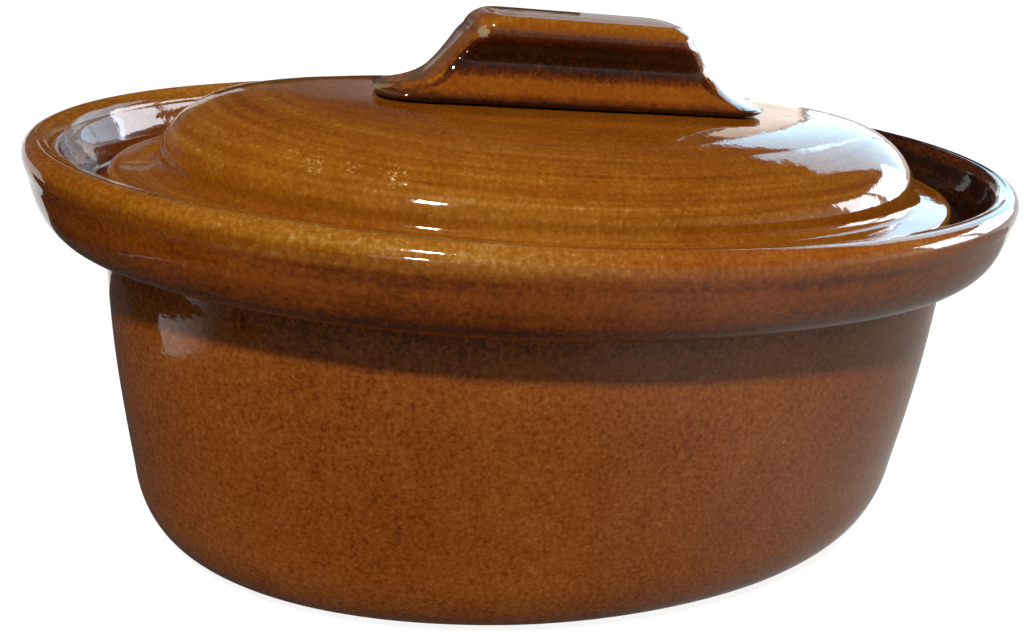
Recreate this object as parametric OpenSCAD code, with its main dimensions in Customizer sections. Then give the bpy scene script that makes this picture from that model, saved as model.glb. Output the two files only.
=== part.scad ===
// Oval lidded casserole dish in glazed stoneware. A deep dish has a rolled collar round its rim, with a
// ledge inside it. A loose domed lid lies on the ledge, and a ridge handle is luted to the lid's crown.
// Sizes are in millimetres. The origin is under the middle of the foot, +Z is up, and +X runs along the dish.

/* [Dish] */
// Length of the dish over its rim
rim_length = 260; // [220:1:320]
// Width of the dish over its rim
rim_width = 171; // [150:1:220]
// Height of the dish, from the table to the top of the lip
dish_height = 112.5; // [80:0.5:150]
// Thickness of the rounded lip
lip_thickness = 8; // [6:0.5:10]
// How far the collar's outer face rolls in from the lip to its underside
collar_roll = 8; // [5:0.5:9]
// How far the lip's bead stands out from the collar's face below it
lip_bead = 0.5; // [0:0.25:1.5]
// Thickness of the wall
wall_thickness = 8.5; // [6:0.5:9.5]
// How far the wall leans in from the collar to the base corner
wall_lean = 1; // [0:0.5:8]
// How far the wall swells out at its middle
wall_belly = 1; // [0:0.25:3]
// How far the rounded base corner reaches in under the dish
corner_reach = 14; // [8:0.5:20]
// Height of the rounded base corner
corner_height = 24; // [14:0.5:34]
// Thickness of the floor, above the recess under it
floor_thickness = 8; // [5:0.5:12]
// Width of the flat ring that the dish stands on
foot_width = 9; // [5:0.5:14]
// Depth of the recess inside that ring
foot_recess = 1.5; // [0.5:0.25:3]

/* [Ledge for the lid] */
// Depth of the ledge below the top of the lip
ledge_depth = 14; // [11:0.5:18]
// Width of the ledge
ledge_width = 11.5; // [10.5:0.5:14]
// Thickness of the clay under the ledge
shelf_thickness = 8; // [6:0.5:11]
// How far the rim's inner face leans in from the lip down to the ledge
rim_lean = 3.5; // [1:0.5:5]

/* [Lid] */
// Gap all round between the lid's edge and the rim's inner face
lid_gap = 5; // [1.5:0.5:6]
// Width of the flange round the dome
flange_width = 11.5; // [9:0.5:14]
// Thickness of the flange
flange_thickness = 6; // [4:0.5:9]
// Height of the crown above the flange
lid_rise = 19; // [15:0.5:30]
// Thickness of the lid's dome
lid_thickness = 6.5; // [4.5:0.5:9]

/* [Handle] */
// Length of the handle's foot, over the thin toes at its ends
handle_length = 104; // [90:1:118]
// Width of the handle's foot
handle_width = 26; // [23:0.5:30]
// Height of the handle above the crown
handle_height = 22; // [18:0.5:30]
// Length of the grip, at the top of the neck
grip_length = 60; // [50:1:70]
// How far each end leans out from the grip down to its toe
end_lean = 12.5; // [8:0.5:17]
// Width of the grip across the top
grip_width = 23; // [20:0.5:26]
// Width of the neck under the grip
neck_width = 15; // [12:0.5:18]
// Height of the neck, from the crown to the grip's lower edge
neck_height = 17.5; // [13:0.5:18]

/* [Hidden] */

// Sides of an oval ring, and of a corner of the handle
oval_sides = 80;
corner_sides = 9;

// Steps up the lid's hollow, its dome and the handle's neck, and over the edge of the grip
hollow_steps = 9;
dome_steps = 11;
neck_steps = 10;
grip_steps = 5;

// Steps round the base corner, up the wall, up the collar, over the lip, round the inner corner, round
// the lid's cove, and round any other rounding
corner_steps = 8;
wall_steps = 4;
collar_steps = 8;
lip_steps = 8;
inner_corner_steps = 6;
cove_steps = 2;
round_steps = 3;

// Rounding radii
underside_fillet = 3;
gallery_fillet = 2.5;
ledge_round = 1.5;
inner_corner = 18;
flange_round = 2;
lid_cove = 3;
seat_round = 2;
handle_foot_round = 2;
grip_side_round = [3, 3.5];
grip_end_round = [7.5, 6.5];

// Shapes of the curves: the collar's roll, the lid's dome and the toes at the handle's ends
roll_powers = [2.7, 1.9];
dome_powers = [2.6, 1.65];
toe_power = 8;

// Where the bead turns into the collar's face, below the widest part of the lip
bead_fall = [1.2, 3.8];

// Round corners of the handle, as shares of its half length and half width
corner_shares = [0.2, 0.6];

// Height of the handle's waist, as a share of its neck
waist_share = 0.56;

// Insets from the rim's outer outline, from the outside in
gallery_inset = lip_thickness + rim_lean;
flange_inset = gallery_inset + lid_gap;
inner_inset = gallery_inset + ledge_width;
wall_inset = inner_inset - wall_thickness;
corner_inset = wall_inset + wall_lean;
foot_inset = corner_inset + corner_reach;
inner_corner_inset = corner_inset + wall_thickness;

// Heights above the table
widest_z = dish_height - lip_thickness / 2;
ledge_z = dish_height - ledge_depth;
shelf_z = ledge_z - shelf_thickness;
floor_z = foot_recess + floor_thickness;
flange_z = ledge_z + flange_thickness;
crown_z = flange_z + lid_rise;

// Half sizes of the rim, the lid's edge and the foot of its dome
rim_half = [rim_length, rim_width] / 2;
flange_half = rim_half - flange_inset * [1, 1];
dome_half = flange_half - flange_width * [1, 1];

// The crown's flat land is an oval round the handle's foot, and a little more
land_spread = 1.3;
land_margin = 1.5;
land_half = [handle_length, handle_width] / 2 * land_spread + land_margin * [1, 1];

amber = [0.62, 0.33, 0.09];
brown = [0.50, 0.24, 0.08];

function mix(from, to, share) = from + (to - from) * share;

// Share of the way from one value to another that x has passed, and a soft step along it
function passed(x, from, to) = min(1, max(0, (x - from) / (to - from)));
function ease(x, from, to) = let (share = passed(x, from, to)) share * share * (3 - 2 * share);

// Points along an arc of an ellipse, from one angle to another
function arc(centre, radii, from, to, steps) =
    [for (i = [0:steps]) let (a = mix(from, to, i / steps))
        [centre[0] + radii[0] * cos(a), centre[1] + radii[1] * sin(a)]];

// A closed oval ring with half sizes half at height z
function ring(half, z) =
    [for (i = [0:oval_sides - 1]) let (a = 360 * i / oval_sides)
        [half[0] * cos(a), half[1] * sin(a), z]];

// A closed ring of the handle with half sizes half at height z: straight sides and round corners
function bar_ring(half, z) =
    [for (turn = [0:3], i = [0:corner_sides])
        let (a = 90 * (turn + i / corner_sides),
             side = [turn == 0 || turn == 3 ? 1 : -1, turn < 2 ? 1 : -1])
            [half[0] * (side[0] * (1 - corner_shares[0]) + corner_shares[0] * cos(a)),
             half[1] * (side[1] * (1 - corner_shares[1]) + corner_shares[1] * sin(a)), z]];

// Rings of the dish or the flange, one for each [inset, height] point of a profile
function inset_rings(half, profile) =
    [for (p = profile) ring(half - p[0] * [1, 1], p[1])];

// Share of the dome's rise that is reached at a share of the way from its foot to its crown
function dome_share(u) = pow(1 - pow(1 - u, dome_powers[0]), 1 / dome_powers[1]);

// Rings of a dome from its foot to the flat land of its crown
function dome_rings(foot, land, from_z, to_z, steps) =
    [for (i = [0:steps]) let (u = 1 - cos(90 * i / steps))
        ring(mix(foot, land, u), mix(from_z, to_z, dome_share(u)))];

// A solid through a list of rings, closed at both ends. The list runs from the underside, round the
// outside, to the top.
module skin(rings) {
    sides = len(rings[0]);
    last = len(rings) - 1;
    points = [for (r = rings) each r];
    walls = [for (k = [0:last - 1], i = [0:sides - 1])
        let (j = (i + 1) % sides, a = k * sides, b = a + sides)
            each [[a + i, b + i, b + j], [a + i, b + j, a + j]]];
    bottom = [for (i = [0:sides - 1]) i];
    top = [for (i = [sides - 1:-1:0]) last * sides + i];
    polyhedron(points, concat([bottom], walls, [top]), convexity = 6);
}

// Inset of the collar's face at a share of the way from the widest part of the lip down to the underside
function collar_inset(share) =
    lip_bead * ease((widest_z - shelf_z) * share, bead_fall[0], bead_fall[1])
    + (collar_roll - lip_bead) * (1 - pow(1 - pow(share, roll_powers[0]), 1 / roll_powers[1]));

// The outside of the dish, from the recess under it to the top of the collar's face
dish_outside = concat(
    [[foot_inset + foot_width + foot_recess, foot_recess], [foot_inset + foot_width, 0]],
    arc([foot_inset, corner_height], [corner_reach, corner_height], -90, -180, corner_steps),
    [for (i = [1:wall_steps - 1]) let (u = i / wall_steps)
        [mix(corner_inset, wall_inset, u) - wall_belly * sin(180 * u),
         mix(corner_height, shelf_z - underside_fillet, u)]],
    arc([wall_inset - underside_fillet, shelf_z - underside_fillet],
        underside_fillet * [1, 1], 0, 90, round_steps),
    [for (i = [0:collar_steps - 1]) let (u = cos(90 * i / collar_steps))
        [collar_inset(u), mix(widest_z, shelf_z, u)]]);

// The lip, and the inside of the dish down to the floor
dish_inside = concat(
    arc([lip_thickness / 2, widest_z], lip_thickness / 2 * [1, 1], 180, 0, lip_steps),
    arc([gallery_inset + gallery_fillet, ledge_z + gallery_fillet],
        gallery_fillet * [1, 1], 180, 270, round_steps),
    arc([inner_inset - ledge_round, ledge_z - ledge_round], ledge_round * [1, 1], 90, 0, round_steps),
    arc([inner_corner_inset + inner_corner, floor_z + inner_corner],
        inner_corner * [1, 1], 180, 270, inner_corner_steps));

module dish() {
    color(brown)
        skin(inset_rings(rim_half, concat(dish_outside, dish_inside)));
}

// The lid's edge, from the flat seat under it, round the flange, to the cove at the foot of the dome
lid_edge = concat(
    [[flange_width + lid_thickness - seat_round, ledge_z]],
    arc([flange_round, ledge_z + flange_round], flange_round * [1, 1], -90, -180, round_steps),
    arc([flange_round, flange_z - flange_round], flange_round * [1, 1], 180, 90, round_steps),
    arc([flange_width - lid_cove, flange_z + lid_cove], lid_cove * [1, 1], -90, -30, cove_steps));

module lid() {
    hollow_foot = dome_half - lid_thickness * [1, 1];
    hollow_land = land_half - lid_thickness * [1, 1];
    hollow = dome_rings(hollow_foot, hollow_land, ledge_z + seat_round, crown_z - lid_thickness,
                        hollow_steps);
    dome = dome_rings(dome_half, land_half, flange_z + lid_cove, crown_z, dome_steps);
    color(amber)
        skin(concat([for (i = [hollow_steps:-1:0]) hollow[i]], inset_rings(flange_half, lid_edge), dome));
}

// How far a rounded top edge has come in at a depth below the top, for a [reach, drop] of the rounding
function rounded(depth, edge) =
    depth > edge[1] ? 0 : edge[0] * (1 - sqrt(1 - pow(1 - depth / edge[1], 2)));

// Half sizes of the handle at height z above the crown: ends that lean out and run into toes, and sides
// that are hollowed from the foot in to the waist and out again to the grip
function handle_half(z) =
    let (down = 1 - passed(z, handle_foot_round, neck_height),
         toe = (handle_length - grip_length) / 2 - end_lean,
         waist = waist_share * neck_height,
         flare = pow(1 - passed(z, handle_foot_round, waist), 2),
         past_waist = pow(passed(z, waist, neck_height), 2),
         swell = past_waist * (2 - past_waist),
         depth = handle_height - z)
    [grip_length / 2 + end_lean * down + toe * pow(down, toe_power) - rounded(depth, grip_end_round),
     (neck_width + (handle_width - neck_width) * flare + (grip_width - neck_width) * swell) / 2
         - rounded(depth, grip_side_round)];

module lid_handle() {
    foot = [for (i = [0:round_steps - 1]) let (a = 90 * i / round_steps)
        bar_ring(handle_half(0) - handle_foot_round * (1 - sin(a)) * [1, 1],
                 crown_z + handle_foot_round * (1 - cos(a)))];
    grip_z = handle_height - grip_side_round[1];
    neck = [for (i = [0:neck_steps - 1]) mix(handle_foot_round, grip_z, i / neck_steps)];
    grip = [for (i = [0:grip_steps]) let (a = 90 * i / grip_steps)
        handle_height - grip_side_round[1] * (1 - sin(a))];
    color(amber)
        skin(concat(foot, [for (z = concat(neck, grip)) bar_ring(handle_half(z), crown_z + z)]));
}

dish();
lid();
lid_handle();
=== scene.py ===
import math

import bmesh
import bpy
from mathutils import Matrix, Vector


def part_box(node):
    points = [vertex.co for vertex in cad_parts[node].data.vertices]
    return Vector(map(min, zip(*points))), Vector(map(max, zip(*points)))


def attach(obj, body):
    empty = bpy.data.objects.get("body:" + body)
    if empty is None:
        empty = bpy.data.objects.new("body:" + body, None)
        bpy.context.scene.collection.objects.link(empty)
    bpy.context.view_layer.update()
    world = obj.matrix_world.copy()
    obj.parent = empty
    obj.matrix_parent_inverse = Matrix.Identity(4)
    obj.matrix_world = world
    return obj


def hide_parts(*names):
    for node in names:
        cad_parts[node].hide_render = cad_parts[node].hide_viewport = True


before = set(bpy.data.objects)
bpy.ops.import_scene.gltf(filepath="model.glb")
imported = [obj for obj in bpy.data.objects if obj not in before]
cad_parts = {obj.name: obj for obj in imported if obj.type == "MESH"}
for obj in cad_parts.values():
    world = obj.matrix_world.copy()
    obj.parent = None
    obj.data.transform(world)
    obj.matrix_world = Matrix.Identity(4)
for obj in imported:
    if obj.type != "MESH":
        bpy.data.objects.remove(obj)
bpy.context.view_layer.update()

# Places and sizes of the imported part, in metres
dish_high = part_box("dish")[1]
lid_low, lid_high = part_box("lid")
handle_low, handle_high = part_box("lid_handle")
RIM_HALF = (dish_high.x, dish_high.y)
FLANGE_HALF = (lid_high.x, lid_high.y)
HANDLE_HALF = (handle_high.x, handle_high.y)
RIM_Z = dish_high.z
LEDGE_Z = lid_low.z
CROWN_Z = lid_high.z
HANDLE_TOP_Z = handle_high.z
HANDLE_HEIGHT = HANDLE_TOP_Z - handle_low.z

# The dish's section, in metres: insets are measured in from the rim's outer edge
LIP = 0.008
BEAD = 0.0005
BEAD_FALL = (0.0012, 0.0038)
COLLAR_ROLL = 0.008
SHELF = 0.008
WALL = 0.0085
WALL_LEAN = 0.001
WALL_BELLY = 0.001
CORNER = (0.014, 0.024)
FLOOR = 0.008
FOOT_WIDTH = 0.009
FOOT_RECESS = 0.0015
LEDGE_WIDTH = 0.0115
RIM_LEAN = 0.0035
UNDERSIDE_FILLET = 0.003
GALLERY_FILLET = 0.0025
LEDGE_ROUND = 0.0015
INNER_CORNER = 0.018
GALLERY_INSET = LIP + RIM_LEAN
INNER_INSET = GALLERY_INSET + LEDGE_WIDTH
WALL_INSET = INNER_INSET - WALL
CORNER_INSET = WALL_INSET + WALL_LEAN
FOOT_INSET = CORNER_INSET + CORNER[0]
WIDEST_Z = RIM_Z - LIP / 2
SHELF_Z = LEDGE_Z - SHELF
FLOOR_Z = FOOT_RECESS + FLOOR
ROLL_POWERS = (2.7, 1.9)

# The lid's section
FLANGE_WIDTH = 0.0115
FLANGE = 0.006
LID_WALL = 0.0065
FLANGE_ROUND = 0.002
LID_COVE = 0.003
SEAT_ROUND = 0.002
DOME_FOOT = [half - FLANGE_WIDTH for half in FLANGE_HALF]
LAND_HALF = (0.0691, 0.0184)
DOME_POWERS = (2.6, 1.65)
FLANGE_Z = LEDGE_Z + FLANGE

# The handle: its foot, neck and grip
GRIP_HALF = (0.030, 0.0115)
NECK_HALF = 0.0075
NECK_HEIGHT = 0.0175
END_LEAN = 0.0125
TOE_POWER = 8
WAIST = 0.56 * NECK_HEIGHT
HANDLE_FOOT_ROUND = 0.002
GRIP_SIDE_ROUND = (0.003, 0.0035)
GRIP_END_ROUND = (0.0075, 0.0065)
GRIP_CROWN = 0.0003
HANDLE_CORNERS = (0.2, 0.6)

# Points round an oval ring, and steps along each stretch of a section
OVAL_SIDES = 192
CORNER_STEPS = 18
WALL_STEPS = 16
FILLET_STEPS = 6
ROLL_STEPS = 24
LIP_STEPS = 18
LEDGE_STEPS = 5
INNER_STEPS = 10
BOTTOM_STEPS = 14
HOLLOW_STEPS = 20
COVE_STEPS = 8
DOME_STEPS = 28
NECK_STEPS = 36
GRIP_STEPS = 12

# Rings that close an oval's flat middle, as shares of its last ring
CLOSING = (0.8, 0.6, 0.4, 0.2, 0.05)

# The handle's ring while its corners have a radius of 1: steps round a corner, then the edges
# longer than a length, and their cuts
HANDLE_CORNER_STEPS = 12
HANDLE_CUTS = ((2.0, 23), (0.5, 3))

# Rings that close the grip: shares of its last ring's length and width, and of the rise to its top.
# The last of them is drawn in to a line along the ridge
RIDGE_CLOSING = ((0.98, 0.7, 0.6), (0.95, 0.35, 0.9))
RIDGE_LINE = 0.98
MERGE_REACH = 0.00001

# Rounds of evening out the notes of hollow clay
HOLLOW_ROUNDS = 3


# Sections and rings

def mix(start, end, share):
    return start + (end - start) * share


def passed(value, low, high):
    """Share of the way from low to high that a value has passed."""
    return min(1, max(0, (value - low) / (high - low)))


def ease(value, low, high):
    """A soft step from 0 to 1 between low and high."""
    share = passed(value, low, high)
    return share * share * (3 - 2 * share)


def arc(centre, radii, start, end, steps):
    """Points along an arc of an ellipse, between two angles in degrees."""
    angles = [math.radians(mix(start, end, i / steps)) for i in range(steps + 1)]
    return [(centre[0] + radii[0] * math.cos(a), centre[1] + radii[1] * math.sin(a)) for a in angles]


def fillet(centre, radius, start, end, steps=FILLET_STEPS):
    """Points along an arc of a circle, between two angles in degrees."""
    return arc(centre, (radius, radius), start, end, steps)


def inset_rings(half, section):
    """Rings of an oval piece, as (half length, half width, height), from (inset, height) points."""
    return [(half[0] - inset, half[1] - inset, z) for inset, z in section]


def closing_rings(ring):
    """Rings on the level that draw a last ring in to its middle."""
    return [(ring[0] * share, ring[1] * share, ring[2]) for share in CLOSING]


def opening_rings(ring):
    """The same rings the other way, from the middle out to a first ring."""
    return closing_rings(ring)[::-1]


def dish_section():
    """The dish from the recess under it, up its outside, over the lip and down to its floor."""
    recess = [(FOOT_INSET + FOOT_WIDTH + FOOT_RECESS, FOOT_RECESS), (FOOT_INSET + FOOT_WIDTH, 0)]
    corner = arc((FOOT_INSET, CORNER[1]), CORNER, -90, -180, CORNER_STEPS)
    wall_top = SHELF_Z - UNDERSIDE_FILLET
    wall = []
    for i in range(1, WALL_STEPS):
        share = i / WALL_STEPS
        belly = WALL_BELLY * math.sin(math.pi * share)
        wall.append((mix(CORNER_INSET, WALL_INSET, share) - belly, mix(CORNER[1], wall_top, share)))
    underside = fillet((WALL_INSET - UNDERSIDE_FILLET, wall_top), UNDERSIDE_FILLET, 0, 90)
    roll = []
    for i in range(ROLL_STEPS):
        share = math.cos(math.pi / 2 * i / ROLL_STEPS)
        z = mix(WIDEST_Z, SHELF_Z, share)
        turned_in = 1 - (1 - share ** ROLL_POWERS[0]) ** (1 / ROLL_POWERS[1])
        bead = BEAD * ease(WIDEST_Z - z, *BEAD_FALL)
        roll.append((bead + (COLLAR_ROLL - BEAD) * turned_in, z))
    lip = fillet((LIP / 2, WIDEST_Z), LIP / 2, 180, 0, LIP_STEPS)
    gallery_centre = (GALLERY_INSET + GALLERY_FILLET, LEDGE_Z + GALLERY_FILLET)
    gallery = fillet(gallery_centre, GALLERY_FILLET, 180, 270)
    inner_top = LEDGE_Z - LEDGE_ROUND
    ledge = fillet((INNER_INSET - LEDGE_ROUND, inner_top), LEDGE_ROUND, 90, 0, LEDGE_STEPS)
    inner_inset = CORNER_INSET + WALL
    inner_foot = FLOOR_Z + INNER_CORNER
    inner = []
    for i in range(1, INNER_STEPS):
        share = i / INNER_STEPS
        inner.append((mix(INNER_INSET, inner_inset, share), mix(inner_top, inner_foot, share)))
    bottom = fillet((inner_inset + INNER_CORNER, inner_foot), INNER_CORNER, 180, 270, BOTTOM_STEPS)
    return recess + corner + wall + underside + roll + lip + gallery + ledge + inner + bottom


def dome_rings(foot, land, from_z, to_z, steps):
    """Rings of the lid's dome, or of the hollow under it, from its foot to the flat of its crown."""
    rings = []
    for i in range(steps + 1):
        share = 1 - math.cos(math.pi / 2 * i / steps)
        rise = (1 - (1 - share) ** DOME_POWERS[0]) ** (1 / DOME_POWERS[1])
        half = [mix(start, end, share) for start, end in zip(foot, land)]
        rings.append((*half, mix(from_z, to_z, rise)))
    return rings


def lid_rings():
    """The lid from the middle of its hollow, down to its seat, round the flange and over the dome."""
    hollow_foot = [half - LID_WALL for half in DOME_FOOT]
    hollow_land = [half - LID_WALL for half in LAND_HALF]
    hollow_z = (LEDGE_Z + SEAT_ROUND, CROWN_Z - LID_WALL)
    hollow = dome_rings(hollow_foot, hollow_land, *hollow_z, HOLLOW_STEPS)[::-1]
    edge = [(FLANGE_WIDTH + LID_WALL - SEAT_ROUND, LEDGE_Z)]
    edge += fillet((FLANGE_ROUND, LEDGE_Z + FLANGE_ROUND), FLANGE_ROUND, -90, -180)
    edge += fillet((FLANGE_ROUND, FLANGE_Z - FLANGE_ROUND), FLANGE_ROUND, 180, 90)
    edge += fillet((FLANGE_WIDTH - LID_COVE, FLANGE_Z + LID_COVE), LID_COVE, -90, -15, COVE_STEPS)
    dome = dome_rings(DOME_FOOT, LAND_HALF, FLANGE_Z + LID_COVE, CROWN_Z, DOME_STEPS)
    middle = opening_rings(hollow[0])
    return middle + hollow + inset_rings(FLANGE_HALF, edge) + dome + closing_rings(dome[-1])


def rounded(depth, edge):
    """How far a rounded top edge, of a given reach and drop, has come in at a depth below the top."""
    if depth > edge[1]:
        return 0
    return edge[0] * (1 - math.sqrt(1 - (1 - depth / edge[1]) ** 2))


def handle_half(z):
    """Half sizes of the handle at a height above the crown: ends that lean out, and hollow sides."""
    down = 1 - passed(z, HANDLE_FOOT_ROUND, NECK_HEIGHT)
    toe = HANDLE_HALF[0] - GRIP_HALF[0] - END_LEAN
    flare = (1 - passed(z, HANDLE_FOOT_ROUND, WAIST)) ** 2
    past_waist = passed(z, WAIST, NECK_HEIGHT) ** 2
    swell = past_waist * (2 - past_waist)
    depth = HANDLE_HEIGHT - z
    half_length = GRIP_HALF[0] + END_LEAN * down + toe * down ** TOE_POWER
    half_width = NECK_HALF + (HANDLE_HALF[1] - NECK_HALF) * flare + (GRIP_HALF[1] - NECK_HALF) * swell
    return half_length - rounded(depth, GRIP_END_ROUND), half_width - rounded(depth, GRIP_SIDE_ROUND)


def handle_rings():
    """The handle from its luted foot, up its neck, to the rounded edge of the grip."""
    rings = []
    foot = handle_half(0)
    for i in range(FILLET_STEPS):
        angle = math.pi / 2 * i / FILLET_STEPS
        inset = HANDLE_FOOT_ROUND * (1 - math.sin(angle))
        rise = HANDLE_FOOT_ROUND * (1 - math.cos(angle))
        rings.append((foot[0] - inset, foot[1] - inset, CROWN_Z + rise))
    edge = GRIP_SIDE_ROUND[1]
    heights = [mix(HANDLE_FOOT_ROUND, HANDLE_HEIGHT - edge, i / NECK_STEPS) for i in range(NECK_STEPS)]
    for i in range(GRIP_STEPS + 1):
        heights.append(HANDLE_HEIGHT - edge * (1 - math.sin(math.pi / 2 * i / GRIP_STEPS)))
    for z in heights:
        rings.append((*handle_half(z), CROWN_Z + min(z, HANDLE_HEIGHT - GRIP_CROWN)))
    return rings


# Modelling

def stretch(along, across):
    """Stretches the selected ring along the dish and across it, about its middle."""
    bpy.ops.transform.resize(value=(along, across, 1), center_override=(0, 0, 0))


def draw_through(rings):
    """Extrudes the selected ring through a row of rings, each a stretched copy of the one before."""
    for (from_x, from_y, from_z), (to_x, to_y, to_z) in zip(rings, rings[1:]):
        bpy.ops.mesh.extrude_region_move(TRANSFORM_OT_translate={"value": (0, 0, to_z - from_z)})
        stretch(to_x / from_x, to_y / from_y)


def close_piece():
    """Turns a finished mesh's faces outwards, leaves edit mode and smooths it."""
    bpy.ops.mesh.select_all(action="SELECT")
    bpy.ops.mesh.normals_make_consistent(inside=False)
    bpy.ops.object.mode_set(mode="OBJECT")
    bpy.ops.object.shade_smooth()


def oval_piece(name, rings):
    """A closed oval piece through its rings, from the middle of its underside to that of its top."""
    bpy.ops.object.select_all(action="DESELECT")
    bpy.ops.mesh.primitive_circle_add(vertices=OVAL_SIDES, radius=1)
    piece = bpy.context.object
    piece.name = name
    bpy.ops.object.mode_set(mode="EDIT")
    stretch(rings[0][0], rings[0][1])
    bpy.ops.transform.translate(value=(0, 0, rings[0][2]))
    draw_through(rings)
    bpy.ops.mesh.merge(type="CENTER")
    bpy.ops.mesh.select_all(action="DESELECT")
    bpy.ops.mesh.select_non_manifold()
    bpy.ops.mesh.merge(type="CENTER")
    close_piece()
    return piece


def ridge_piece(name, rings):
    """The ridge handle: a round-cornered ring, drawn up through its rings and closed along the top."""
    bpy.ops.object.select_all(action="DESELECT")
    bpy.ops.mesh.primitive_plane_add(size=2)
    piece = bpy.context.object
    piece.name = name
    start = [1 / share for share in HANDLE_CORNERS]
    bpy.ops.object.mode_set(mode="EDIT")
    stretch(*start)
    bpy.ops.mesh.bevel(offset=1, segments=HANDLE_CORNER_STEPS, affect="VERTICES")
    for shortest, cuts in HANDLE_CUTS:
        mesh = bmesh.from_edit_mesh(piece.data)
        for edge in mesh.edges:
            edge.select_set(edge.calc_length() > shortest)
        mesh.select_flush_mode()
        bpy.ops.mesh.subdivide(number_cuts=cuts)
    bpy.ops.mesh.select_all(action="SELECT")
    stretch(rings[0][0] / start[0], rings[0][1] / start[1])
    bpy.ops.transform.translate(value=(0, 0, rings[0][2]))
    top = rings[-1]
    closing = [(top[0] * length, top[1] * width, mix(top[2], HANDLE_TOP_Z, rise))
               for length, width, rise in RIDGE_CLOSING]
    draw_through(rings + closing)
    bpy.ops.mesh.extrude_region_move(TRANSFORM_OT_translate={"value": (0, 0, 0)})
    stretch(RIDGE_LINE, 0)
    bpy.ops.mesh.remove_doubles(threshold=MERGE_REACH)
    close_piece()
    return piece


def uneven(piece, name, size, depth):
    """Presses slight unevenness of a given size and depth into a hand-finished piece."""
    cloud = bpy.data.textures.new(name, "CLOUDS")
    cloud.noise_scale = size
    cloud.noise_depth = 1
    press = piece.modifiers.new(name, "DISPLACE")
    press.texture = cloud
    press.texture_coords = "LOCAL"
    press.strength = depth
    press.mid_level = 1
    bpy.ops.object.select_all(action="DESELECT")
    bpy.context.view_layer.objects.active = piece
    piece.select_set(True)
    bpy.ops.object.modifier_apply(modifier=press.name)


def note_hollows(piece):
    """Writes how hollow the clay is at each point: above zero in a hollow, below it on an edge."""
    shape = bmesh.new()
    shape.from_mesh(piece.data)
    bend = []
    for point in shape.verts:
        turn = sum(edge.calc_face_angle_signed(0) * edge.calc_length() for edge in point.link_edges)
        area = sum(face.calc_area() / len(face.verts) for face in point.link_faces)
        bend.append(-turn / (4 * area))
    near = [[edge.other_vert(point).index for edge in point.link_edges] for point in shape.verts]
    shape.free()
    for _ in range(HOLLOW_ROUNDS):
        around = [sum(bend[i] for i in points) / len(points) for points in near]
        bend = [(own + others) / 2 for own, others in zip(bend, around)]
    layer = piece.data.attributes.new("hollow", "FLOAT", "POINT")
    layer.data.foreach_set("value", bend)


def note_facing(piece):
    """Writes the way that each point of a piece faces."""
    layer = piece.data.attributes.new("facing", "FLOAT_VECTOR", "POINT")
    for point, note in zip(piece.data.vertices, layer.data):
        note.vector = point.normal


# Glazes

class Socket:
    """One socket of a material's nodes. Arithmetic on it adds Math nodes."""

    def __init__(self, tree, link=None):
        self.tree = tree
        self.link = link

    def add(self, kind, settings, inputs, output=0):
        """Adds a node, with its settings and then its inputs, and gives one of its outputs."""
        node = self.tree.nodes.new(kind)
        for name, value in settings.items():
            if name == "stops":
                while len(node.color_ramp.elements) < len(value):
                    node.color_ramp.elements.new(1)
                for element, (place, colour) in zip(node.color_ramp.elements, value):
                    element.position = place
                    element.color = (*colour, 1)
            else:
                setattr(node, name, value)
        for name, value in inputs.items():
            if isinstance(value, Socket):
                self.tree.links.new(value.link, node.inputs[name])
            else:
                node.inputs[name].default_value = value
        return Socket(self.tree, node.outputs[output]) if node.outputs else None

    def math(self, operation, first, second):
        return self.add("ShaderNodeMath", {"operation": operation}, {0: first, 1: second})

    def __add__(self, other):
        return self.math("ADD", self, other)

    def __radd__(self, other):
        return self.math("ADD", other, self)

    def __sub__(self, other):
        return self.math("SUBTRACT", self, other)

    def __rsub__(self, other):
        return self.math("SUBTRACT", other, self)

    def __mul__(self, other):
        return self.math("MULTIPLY", self, other)

    def __rmul__(self, other):
        return self.math("MULTIPLY", other, self)

    def __truediv__(self, other):
        return self.math("DIVIDE", self, other)

    def __rtruediv__(self, other):
        return self.math("DIVIDE", other, self)

    def __pow__(self, other):
        return self.math("POWER", self, other)

    def __rpow__(self, other):
        return self.math("POWER", other, self)

    def __abs__(self):
        return self.math("ABSOLUTE", self, 0)


def noise(place, scale, detail=2.0, roughness=0.5):
    """Noise with so many features to the metre, as a value round zero."""
    inputs = {"Vector": place, "Scale": scale, "Detail": detail, "Roughness": roughness}
    return place.add("ShaderNodeTexNoise", {}, inputs) - 0.5


def smooth(value, low, high):
    """0 below low, 1 above high, and a soft slope between them."""
    inputs = {"Value": value, "From Min": low, "From Max": high}
    return value.add("ShaderNodeMapRange", {"interpolation_type": "SMOOTHSTEP"}, inputs)


def band(value, low, high, edge):
    """1 between low and high, falling to 0 over a soft edge."""
    return smooth(value, low - edge, low) * (1 - smooth(value, high, high + edge))


# Share of a spot's reach over which it is at its full strength
SPOT_CORE = 0.35


def spot(place, centre, reach):
    """1 at a spot on a piece, falling to 0 at its reach."""
    points = {0: place, 1: centre}
    distance = place.add("ShaderNodeVectorMath", {"operation": "DISTANCE"}, points, "Value")
    return 1 - smooth(distance, reach * SPOT_CORE, reach)


def mix_colour(amount, first, second):
    """One colour turning into another."""
    inputs = {"Factor": amount, "A": first, "B": second}
    return amount.add("ShaderNodeMix", {"data_type": "RGBA"}, inputs, "Result")


def axes(vector):
    return [vector.add("ShaderNodeSeparateXYZ", {}, {"Vector": vector}, axis) for axis in "XYZ"]


def new_material(name):
    """An empty material, and the Object coordinates on what it covers as a socket."""
    material = bpy.data.materials.new(name)
    material.use_nodes = True
    material.node_tree.nodes.clear()
    return material, Socket(material.node_tree).add("ShaderNodeTexCoord", {}, {}, "Object")


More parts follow.
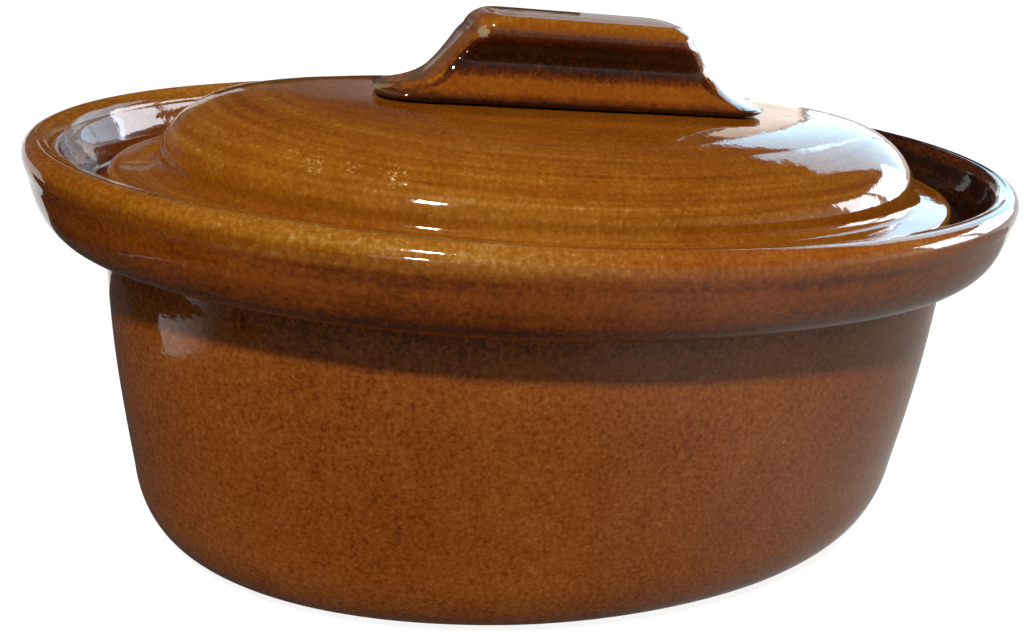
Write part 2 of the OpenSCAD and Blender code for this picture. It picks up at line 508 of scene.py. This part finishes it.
# Colours of the glaze by its depth: buff where it is thin, then amber or russet, and nearly black
# where it pools
AMBER = (
    (0.0, (0.62, 0.34, 0.10)),
    (0.22, (0.45, 0.175, 0.017)),
    (0.42, (0.335, 0.100, 0.006)),
    (0.55, (0.270, 0.071, 0.005)),
    (0.75, (0.125, 0.028, 0.004)),
    (1.0, (0.022, 0.006, 0.003)),
)
RUSSET = (
    (0.0, (0.62, 0.31, 0.11)),
    (0.22, (0.46, 0.155, 0.028)),
    (0.42, (0.375, 0.100, 0.012)),
    (0.55, (0.305, 0.073, 0.005)),
    (0.75, (0.155, 0.033, 0.003)),
    (1.0, (0.032, 0.010, 0.005)),
)
CLAY = (0.42, 0.27, 0.15, 1)

# Depth of the glaze on each piece, before its grain, its pools and its worn edges
DISH_DEPTH = 0.48
LID_DEPTH = 0.46
HANDLE_DEPTH = 0.64

# The glaze's mirror strength, its roughness and that of bare clay, which adds to it
GLOSS = 0.46
GLAZE_ROUGH = 0.06
CLAY_ROUGH = 0.6

# Radius of a bend that counts as a tight corner or a sharp edge, in metres
TIGHT_BEND = 0.004


def mottle(place, grain):
    """The glaze's grain, its clouds, its dark pinholes and its pale flecks, as changes of its depth."""
    pinhole = smooth(noise(place, 430, 1), 0.22, 0.29)
    fleck = smooth(noise(place, 820, 1), 0.10, 0.24)
    clouds = noise(place, 26, 3) * 0.28 + noise(place, 110, 2) * 0.18
    return noise(place, 900, 3, 0.7) * grain + clouds + pinhole * 0.07 - fleck * 0.12


def ripple(place):
    """Height of the glaze's skin, in metres: a fine orange peel on slow waves."""
    return noise(place, 700, 1) * 0.000022 + noise(place, 75, 2) * 0.00016


def hollows(place):
    """How hollow the clay is, from minus one on a sharp edge to one in a tight corner."""
    bend = place.add("ShaderNodeAttribute", {"attribute_name": "hollow"}, {}, "Fac")
    return place.add("ShaderNodeClamp", {}, {"Value": bend * TIGHT_BEND, "Min": -1.0, "Max": 1.0})


def facing_axes(place):
    """The way that the clay faces, along each axis."""
    return axes(place.add("ShaderNodeAttribute", {"attribute_name": "facing"}, {}, "Vector"))


def tone(depth, colours):
    """The glaze's colour at its depth."""
    return depth.add("ShaderNodeValToRGB", {"stops": colours}, {"Fac": depth}, "Color")


def fire(material, place, glaze, bare, relief):
    """Finishes a glossy glaze: its colour, dull clay where it is bare, and its relief."""
    inputs = {
        "Base Color": mix_colour(bare, glaze, CLAY),
        "Roughness": GLAZE_ROUGH + noise(place, 300, 2) * 0.04 + bare * CLAY_ROUGH,
        "Normal": place.add("ShaderNodeBump", {}, {"Height": relief, "Distance": 1.0}, "Normal"),
        "Specular IOR Level": GLOSS,
    }
    surface = place.add("ShaderNodeBsdfPrincipled", {}, inputs)
    place.add("ShaderNodeOutputMaterial", {}, {"Surface": surface})
    return material


# Heights on the dish where its colour changes, some of it painted shade, in metres, as where a change
# starts and where it ends
LIP_EDGE = (RIM_Z - 0.0073, RIM_Z - 0.0059)
COLLAR_FOOT = SHELF_Z - 0.0005
COLLAR_FADE = 0.0014
# Under the collar: painted shade over glaze that pools there
SHADE_POOL_FOOT = (SHELF_Z - 0.0105, SHELF_Z - 0.0035)
SHADE_POOL_TOP = (SHELF_Z + 0.002, SHELF_Z + 0.0115)
# Up from which the rim is darker towards its right, inside and on its upward faces
DARKER_RIGHT_FOOT = (LEDGE_Z - 0.0185, LEDGE_Z - 0.0005)
THROAT = (RIM_Z - 0.009, RIM_Z - 0.003)
FOOT_BARE = (0.0004, 0.0011)

# Places along the dish where its lip turns deeper, and where it turns redder towards the right
LIP_ENDS = (0.06, 0.12)
LIP_RED = (-0.055, 0.02)


def dish_glaze():
    """The dish: russet with an amber lip, painted shade on the collar and under it over glaze that
    pools there, darker in the rim's right, bare below.
    """
    material, place = new_material("dish glaze")
    x, y, z = axes(place)
    facing = facing_axes(place)
    fringe = noise(place, 500, 2) * 0.0016
    lip = smooth(z + fringe, *LIP_EDGE)
    collar = band(z + fringe, COLLAR_FOOT, LIP_EDGE[0], COLLAR_FADE)
    outward = facing[0] * x / RIM_HALF[0] ** 2 + facing[1] * y / RIM_HALF[1] ** 2
    inside = 1 - smooth(outward, -2, 2)
    upper = inside + (1 - inside) * smooth(facing[2], 0.2, 0.7)
    to_the_right = smooth(x + y * 1.2 + noise(place, 40) * 0.02, -0.01, 0.05)
    # Darker towards the rim's right, inside it and on its upward faces
    darker_right = upper * to_the_right * smooth(z, *DARKER_RIGHT_FOOT)
    # Painted shade under the collar, over glaze that pools there
    shade_and_pool = smooth(z, *SHADE_POOL_FOOT) * (1 - smooth(z, *SHADE_POOL_TOP)) * (1 - inside)
    redder = smooth(x, *LIP_RED)
    lip_tint = lip * (smooth(abs(x), *LIP_ENDS) * 0.2 + redder * 0.12 - 0.07)
    # The collar's darker tint is partly painted shade on its face, partly deeper glaze
    tint = collar * 0.14 + shade_and_pool * 0.16 + lip_tint + darker_right * 0.42 - inside * 0.1
    along = place.add("ShaderNodeCombineXYZ", {}, {"X": z * 420, "Y": x * 14, "Z": y * 14})
    streaks = noise(along, 1, 3, 0.6) * (lip * 0.5 + collar * 0.35)
    grain = 1.15 - collar * 0.5 - lip * 0.3
    depth = DISH_DEPTH + mottle(place, grain) + hollows(place) * 0.3 + tint + streaks
    glaze = mix_colour(lip * (1 - redder * 0.7), tone(depth, RUSSET), tone(depth, AMBER))
    bare = 1 - smooth(z + noise(place, 160) * 0.0012, *FOOT_BARE)
    throat = inside * smooth(z, *THROAT) * 0.0006
    return fire(material, place, glaze, bare, ripple(place) - throat)


# Marks of the kiln, as where each is and its reach, in metres: clusters of blisters on the lid's front
# and a chip in its flange, then a crawl and a speck on the handle's end
BLISTERS = (
    ((-0.0705, -0.0345, 0.1165), 0.0026),
    ((-0.0651, -0.0387, 0.1156), 0.0045),
    ((-0.0580, -0.0417, 0.1155), 0.0034),
    ((-0.0484, -0.0456, 0.1152), 0.0042),
)
CHIP = ((-0.1060, -0.0050, FLANGE_Z), 0.005)
CRAWL = ((-0.0500, -0.0040, CROWN_Z + 0.0013), 0.0050)
SPECK = ((-0.0262, -0.0098, HANDLE_TOP_Z - 0.0045), 0.0025)


def lid_glaze():
    """The lid: golden amber with brushed rings, a few blisters, and a chip in its flange's left end."""
    material, place = new_material("lid glaze")
    x, y, _ = axes(place)
    round_share = ((x / DOME_FOOT[0]) ** 2 + (y / DOME_FOOT[1]) ** 2) ** 0.5
    along = place.add("ShaderNodeCombineXYZ", {}, {"X": round_share * 38, "Y": x * 8, "Z": y * 8})
    brushed = noise(along, 1, 3, 0.6)
    low = smooth(round_share, 0.62, 0.95)
    cluster = sum((spot(place, *blister) for blister in BLISTERS), 0)
    blister = cluster * smooth(noise(place, 1250, 2), -0.06, 0.22)
    streaks = brushed * (0.3 + low * 0.55) - low * 0.08
    depth = LID_DEPTH + mottle(place, 0.6) + hollows(place) * 0.05 + streaks - blister * 0.38
    chip = spot(place, *CHIP)
    bare = chip * smooth(noise(place, 300, 2), -0.15, 0.1) * 0.8
    relief = ripple(place) + brushed * (0.00002 + low * 0.00004) + blister * 0.0001 - chip * 0.0003
    return fire(material, place, tone(depth, AMBER), bare, relief)


def handle_glaze():
    """The handle: painted shade over glaze that pools in its neck and along its seam, dark on its ends,
    amber on the edges of grip and foot.
    """
    material, place = new_material("handle glaze")
    z = axes(place)[2]
    fringe = noise(place, 450, 2)
    up = (z - CROWN_Z) / HANDLE_HEIGHT + fringe * 0.05
    turned = abs(facing_axes(place)[0]) - 0.2 - up * 0.4 + fringe * 0.12
    end = smooth(turned, 0.04, 0.14)
    ridge = band(turned, -0.03, 0.04, 0.04) * smooth(noise(place, 600, 2), -0.1, 0.1)
    shade = up + smooth(turned, -0.25, -0.1) * 0.2
    # Painted shade under the grip in the neck, over glaze that pools there
    neck = smooth(shade, 0.28, 0.44) * (1 - smooth(up, 0.76, 0.9)) * (1 - smooth(turned, -0.06, 0.0))
    # Painted contact shade along the seam with the lid, over glaze that pools there
    seam = 1 - smooth(up, 0.07, 0.14)
    worn = (band(up, 0.85, 0.97, 0.05) + band(up, 0.17, 0.27, 0.06)) * (1 - end) + ridge * 1.6
    dark = neck * 0.26 + seam * 0.4 + end * 0.06
    depth = HANDLE_DEPTH + mottle(place, 0.55) + hollows(place) * 0.15 + dark - worn * 0.15
    rough = noise(place, 1300, 2)
    crawl = smooth(spot(place, *CRAWL) + rough * 1.8, 0.55, 0.9)
    speck = smooth(spot(place, *SPECK) + rough * 1.5, 0.5, 0.85)
    bare = speck + crawl * 0.7 + end * 0.2
    return fire(material, place, tone(depth, AMBER), bare, ripple(place))


# Pieces

def make_dish():
    section = inset_rings(RIM_HALF, dish_section())
    rings = opening_rings(section[0]) + section + closing_rings(section[-1])
    piece = oval_piece("stoneware_dish", rings)
    uneven(piece, "thrown wall", 0.045, 0.0003)
    note_hollows(piece)
    note_facing(piece)
    piece.data.materials.append(dish_glaze())
    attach(piece, "dish")
    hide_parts("dish")


def make_lid():
    piece = oval_piece("domed_lid", lid_rings())
    uneven(piece, "pressed dome", 0.03, 0.0003)
    note_hollows(piece)
    piece.data.materials.append(lid_glaze())
    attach(piece, "lid")
    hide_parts("lid")


def make_handle():
    piece = ridge_piece("ridge_handle", handle_rings())
    uneven(piece, "smoothed grip", 0.012, 0.0005)
    note_hollows(piece)
    note_facing(piece)
    piece.data.materials.append(handle_glaze())
    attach(piece, "lid")
    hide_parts("lid_handle")


# Stage: floor, lights, cards, room and camera

# The floor: its size and the reach of its dimmer middle in metres, its grey, and how much that dims
FLOOR_SIZE = 12
FLOOR_MIDDLE = 1.2
FLOOR_GREY = (0.26, 0.26, 0.26, 1)
FLOOR_DIMMER = 0.1

# Lamps: the point that they face, and their distances from it in metres
LIT_POINT = Vector((0, 0, 0.09))
NEAR = 1.3
FAR = 1.6
WARM = (1.0, 0.93, 0.82)
LINEN = (1.0, 0.94, 0.84)
IVORY = (1.0, 0.98, 0.94)
DAYLIGHT = (0.72, 0.87, 1.0)
PALE_SKY = (0.86, 0.94, 1.0)
BLUE_SKY = (0.46, 0.78, 1.0)

# Cards: their colour, and the glow of the dark ones
CARD_COLOUR = (1, 0.97, 0.92)
DARK = 0.02

# The room's colour
AIR = (0.97, 0.98, 1.0, 1)

# The camera: degrees, then metres, then its lens and sensor in millimetres and its shift as a share
CAMERA_TURN = -17.38
CAMERA_RISE = 23.96
CAMERA_TILT = 6.41
CAMERA_AIM = (0, 0, 0.060)
CAMERA_BACK = 0.27394
CAMERA_RIGHT = 0.01195
CAMERA_DOWN = 0.00052
CAMERA_CLIP = 0.01
CAMERA_LENS = 32.95
CAMERA_SENSOR = 36
CAMERA_SHIFT = -0.0804


def make_floor():
    """A pale floor that looks white, keeps the dish's shadow and throws little light back up."""
    bpy.ops.object.select_all(action="DESELECT")
    bpy.ops.mesh.primitive_plane_add(size=FLOOR_SIZE)
    floor = bpy.context.object
    floor.name = "floor"
    material, place = new_material("pale floor")
    rays = [place.add("ShaderNodeLightPath", {}, {}, name)
            for name in ("Is Camera Ray", "Is Glossy Ray", "Is Transmission Ray")]
    white = 1 - spot(place, (0, 0, 0), FLOOR_MIDDLE) * FLOOR_DIMMER
    grey = place.add("ShaderNodeBsdfDiffuse", {}, {"Color": FLOOR_GREY})
    glow = place.add("ShaderNodeEmission", {}, {"Color": white})
    seen = place.add("ShaderNodeAddShader", {}, {0: grey, 1: glow})
    surface = place.add("ShaderNodeMixShader", {}, {0: rays[0] + rays[1] + rays[2], 1: grey, 2: seen})
    place.add("ShaderNodeOutputMaterial", {}, {"Surface": surface})
    floor.data.materials.append(material)


def softbox(name, azimuth, elevation, distance, size, radiance, colour, lights=True, mirrored=True):
    """A soft lamp of a given brightness, facing the dish. Azimuth 0 is behind it, 90 to its right."""
    az, el = math.radians(azimuth), math.radians(elevation)
    way = Vector((math.sin(az) * math.cos(el), math.cos(az) * math.cos(el), math.sin(el)))
    bpy.ops.object.light_add(type="AREA", location=LIT_POINT + way * distance)
    lamp = bpy.context.object
    lamp.name = name
    lamp.rotation_euler = way.to_track_quat("Z", "Y").to_euler()
    lamp.visible_camera = False
    lamp.visible_diffuse = lights
    lamp.visible_glossy = mirrored
    lamp.data.shape = "RECTANGLE"
    lamp.data.size, lamp.data.size_y = size
    lamp.data.energy = radiance * math.pi * size[0] * size[1]
    lamp.data.color = colour


def make_lights():
    """A warm key light from the front left, cool window light, and the lamps that the glaze mirrors."""
    softbox("key light", -160, 53, NEAR, (0.08, 0.08), 580, WARM, mirrored=False)
    softbox("key glint", -154.5, 42, NEAR, (0.10, 0.09), 560, WARM, lights=False)
    softbox("low glint", -156, 1.5, NEAR, (0.05, 0.05), 300, WARM, lights=False)
    softbox("window light", 47, 13, FAR, (0.84, 0.80), 3.6, DAYLIGHT, mirrored=False)
    softbox("right window", 37.5, 20, FAR, (0.36, 0.80), 4.6, BLUE_SKY, lights=False)
    softbox("next window", 55.3, 24.5, FAR, (0.60, 1.06), 4.6, BLUE_SKY, lights=False)
    softbox("far window", 74.5, 14, FAR, (0.65, 0.56), 14, PALE_SKY, lights=False)
    softbox("last window", 97.5, 14, FAR, (0.42, 0.56), 14, PALE_SKY, lights=False)
    softbox("left window", -17, 7, FAR, (0.30, 0.34), 0.8, IVORY, lights=False)
    softbox("curtain", 28.5, 11, FAR, (0.11, 0.8), 1.6, LINEN, lights=False)


def table_glow(across, along):
    """Dim, dimmer still near the dish as a painted shade, and brighter towards the right."""
    return 0.17 - smooth(along, 0.425, 0.46) * 0.102 + smooth(across, -0.388, -0.34) * 0.38


def window_glow(across, _):
    """Dim at one end and bright at the other."""
    return 0.1 + smooth(across, -0.4, 0.3) * 1.1


def card(name, place, turned, size, glow):
    """A card that only the glaze mirrors. Its glow is a number, or follows from shares of its sides."""
    bpy.ops.object.select_all(action="DESELECT")
    rotation = [math.radians(turn) for turn in turned]
    bpy.ops.mesh.primitive_plane_add(size=1, location=place, rotation=rotation)
    sheet = bpy.context.object
    sheet.name = name
    sheet.scale = (*size, 1)
    sheet.visible_camera = False
    sheet.visible_diffuse = False
    sheet.visible_shadow = False
    material, on_card = new_material(name)
    if callable(glow):
        across, along, _ = axes(on_card)
        paint = {"Vector": CARD_COLOUR, "Scale": glow(across, along)}
        inputs = {"Color": on_card.add("ShaderNodeVectorMath", {"operation": "SCALE"}, paint)}
    else:
        inputs = {"Color": (*CARD_COLOUR, 1), "Strength": glow}
    face = on_card.add("ShaderNodeEmission", {}, inputs)
    on_card.add("ShaderNodeOutputMaterial", {}, {"Surface": face})
    sheet.data.materials.append(material)


def make_cards():
    """Cards that only the glaze mirrors, as painted reflections: dark ones to the left, behind and by
    the collar, a dim table in front, and a low window.
    """
    card("left card", (-0.25, -0.17, 0.14), (90, 0, 90), (0.46, 0.28), DARK)
    card("back card", (-0.02, 1.20, 0.14), (90, 0, 0), (0.66, 0.28), DARK)
    card("table card", (1.12, -2.87, 0.0004), (0, 0, 0), (2.96, 6.06), table_glow)
    card("low window", (-0.245, -0.058, 0.011), (90, 0, 90), (0.100, 0.022), window_glow)
    card("collar card", (-0.18, -0.12, 0.066), (90, 0, 90), (0.32, 0.04), DARK)


def make_room():
    """A studio that is dim behind and overhead, and brighter to the right, in front and low down."""
    world = bpy.data.worlds.new("studio")
    bpy.context.scene.world = world
    world.use_nodes = True
    world.node_tree.nodes.clear()
    way = Socket(world.node_tree).add("ShaderNodeTexCoord", {}, {}, "Generated")
    right, away, up = axes(way)
    sides = smooth(right, 0.35, 0.95) * 0.7 + (1 - smooth(away, -0.5, 0.3)) * 0.14
    low = smooth(right, -0.05, 0.2) * smooth(away, -0.7, -0.1) * 0.45 + 0.08
    strength = 0.05 + sides * (1 - smooth(up, 0.02, 0.6)) + low * (1 - smooth(up, 0.16, 0.3))
    air = way.add("ShaderNodeBackground", {}, {"Color": AIR, "Strength": strength})
    way.add("ShaderNodeOutputWorld", {}, {"Surface": air})


def make_camera():
    """A camera at the photograph's place: turned to the left, looking down, tilted, and shifted."""
    turn, rise, tilt = [math.radians(angle) for angle in (CAMERA_TURN, CAMERA_RISE, CAMERA_TILT)]
    back = Vector((math.sin(turn) * math.cos(rise), -math.cos(turn) * math.cos(rise), math.sin(rise)))
    level = Vector((math.cos(turn), math.sin(turn), 0))
    upright = back.cross(level)
    right = level * math.cos(tilt) + upright * math.sin(tilt)
    up = upright * math.cos(tilt) - level * math.sin(tilt)
    pose = Matrix((right, up, back)).transposed().to_4x4()
    pose.translation = Vector(CAMERA_AIM) + back * CAMERA_BACK + right * CAMERA_RIGHT - up * CAMERA_DOWN
    bpy.ops.object.camera_add()
    camera = bpy.context.object
    camera.matrix_world = pose
    camera.data.sensor_fit = "HORIZONTAL"
    camera.data.sensor_width = CAMERA_SENSOR
    camera.data.lens = CAMERA_LENS
    camera.data.shift_x = CAMERA_SHIFT
    camera.data.clip_start = CAMERA_CLIP
    bpy.context.scene.camera = camera


make_dish()
make_lid()
make_handle()
make_floor()
make_lights()
make_cards()
make_room()
make_camera()
bpy.context.scene.view_settings.view_transform = "Standard"
